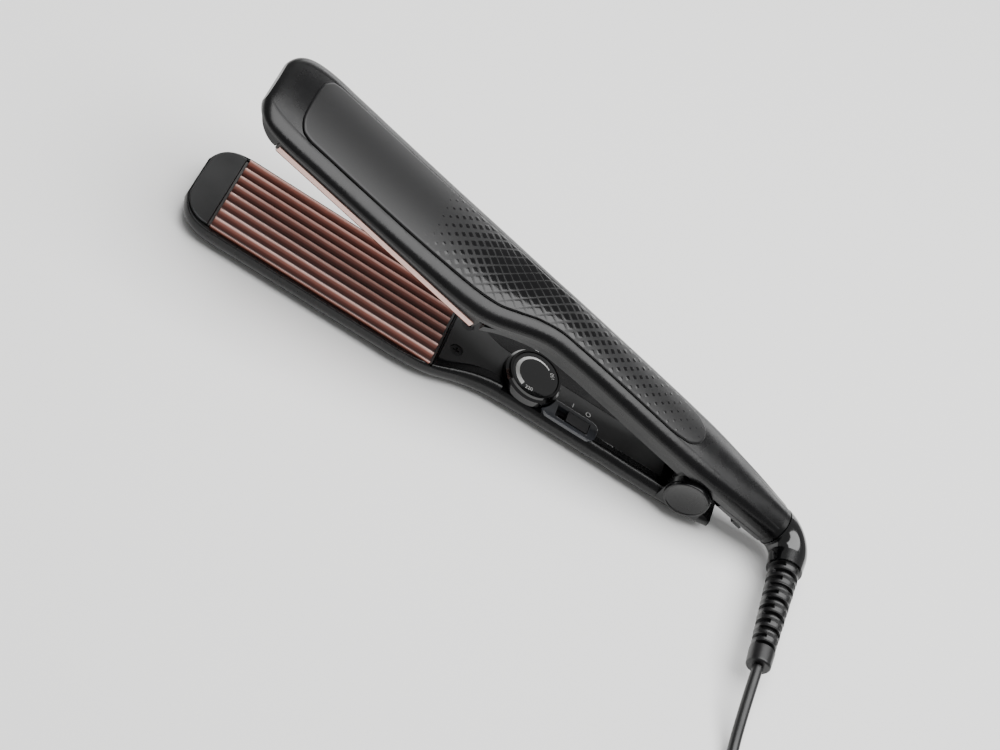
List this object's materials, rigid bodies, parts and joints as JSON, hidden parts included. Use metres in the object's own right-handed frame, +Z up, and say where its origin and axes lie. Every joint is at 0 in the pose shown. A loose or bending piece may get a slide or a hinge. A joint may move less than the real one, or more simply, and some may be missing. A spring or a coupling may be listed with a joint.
{
  "type": "hair crimper",
  "caption": "Hinged hair crimper with ribbed heating plates, a tapering handle, a temperature dial, a slide switch and a swivel power cord.",
  "frame": {"origin": "centre of the open tool without its cord, on the surface it lies on", "axes": "+X from the plate tips to the cord end, +Y across the plates, +Z up"},
  "size_m": [0.3216, 0.2641, 0.0867],
  "materials": {
    "casing": "glossy",
    "panel": "fine diamond texture, satin",
    "heat_plastic": "satin",
    "plate": "satin rose-copper ceramic coating",
    "carrier": "matte",
    "ceramic": "matte",
    "steel": "brushed",
    "screw_steel": "blackened",
    "board": "satin",
    "component": "matte",
    "dial": "glossy",
    "dial_face": "glossy, printed scale",
    "bezel": "glossy clear grey",
    "slider": "satin",
    "brass": "polished",
    "wire": "matte",
    "cord": "satin",
    "plug": "satin",
    "pin_metal": "polished"
  },
  "bodies": {
    "upper_arm": {"upper_shell": "casing", "upper_panel": "panel", "upper_inner_cover": "heat_plastic", "upper_plate": "plate", "upper_plate_carrier": "carrier", "upper_heater": "ceramic", "upper_heater_clamp": "steel", "upper_tip_block": "heat_plastic", "hinge_knuckle": "heat_plastic", "rear_cover": "casing", "swivel_collar": "casing", "swivel_contacts": "brass", "upper_wires": "wire"},
    "lower_arm": {"lower_shell": "casing", "lower_inner_cover": "heat_plastic", "lower_plate": "plate", "lower_plate_carrier": "carrier", "lower_heater": "ceramic", "lower_heater_clamp": "steel", "lower_tip_block": "heat_plastic", "cover_screws": "screw_steel", "potentiometer": "component", "circuit_board": "board", "board_components": "component", "switch_body": "component", "switch_bezel": "bezel", "hinge_pin": "steel", "near_hinge_cap": "casing", "far_hinge_cap": "casing", "opening_spring": "steel", "lower_wires": "wire"},
    "temperature_dial": {"temperature_dial": "dial", "dial_face": "dial_face", "dial_shaft": "steel"},
    "switch_slider": {"switch_slider": "slider"},
    "lock_slider": {"lock_slider": "slider"},
    "cord_swivel": {"swivel_elbow": "casing", "strain_relief": "cord", "power_cord": "cord", "cord_coil": "cord", "cord_tail": "cord", "plug_body": "plug", "plug_pins": "pin_metal"}
  },
  "joints": [
    {"name": "arm_hinge", "type": "hinge", "parent": "upper_arm", "child": "lower_arm", "pos_m": [0.0936, 0, 0.0184], "axis": [0, 1, 0], "range_deg": [0, 14.1], "stiffness_Nm_per_rad": 1.2, "springref_deg": -8.59},
    {"name": "dial_turn", "type": "hinge", "parent": "lower_arm", "child": "temperature_dial", "pos_m": [0.0086, 0, 0.0183], "axis": [0, 0, -1], "range_deg": [-150, 110]},
    {"name": "switch_slide", "type": "slide", "parent": "lower_arm", "child": "switch_slider", "axis": [-1, 0, 0], "range_m": [0, 0.005]},
    {"name": "lock_slide", "type": "slide", "parent": "upper_arm", "child": "lock_slider", "axis": [-0.9699, 0, 0.2436], "range_m": [0, 0.005]},
    {"name": "cord_turn", "type": "hinge", "parent": "upper_arm", "child": "cord_swivel", "pos_m": [0.13578, 0, 0.01801], "axis": [0.9699, 0, -0.2436], "continuous": true}
  ]
}
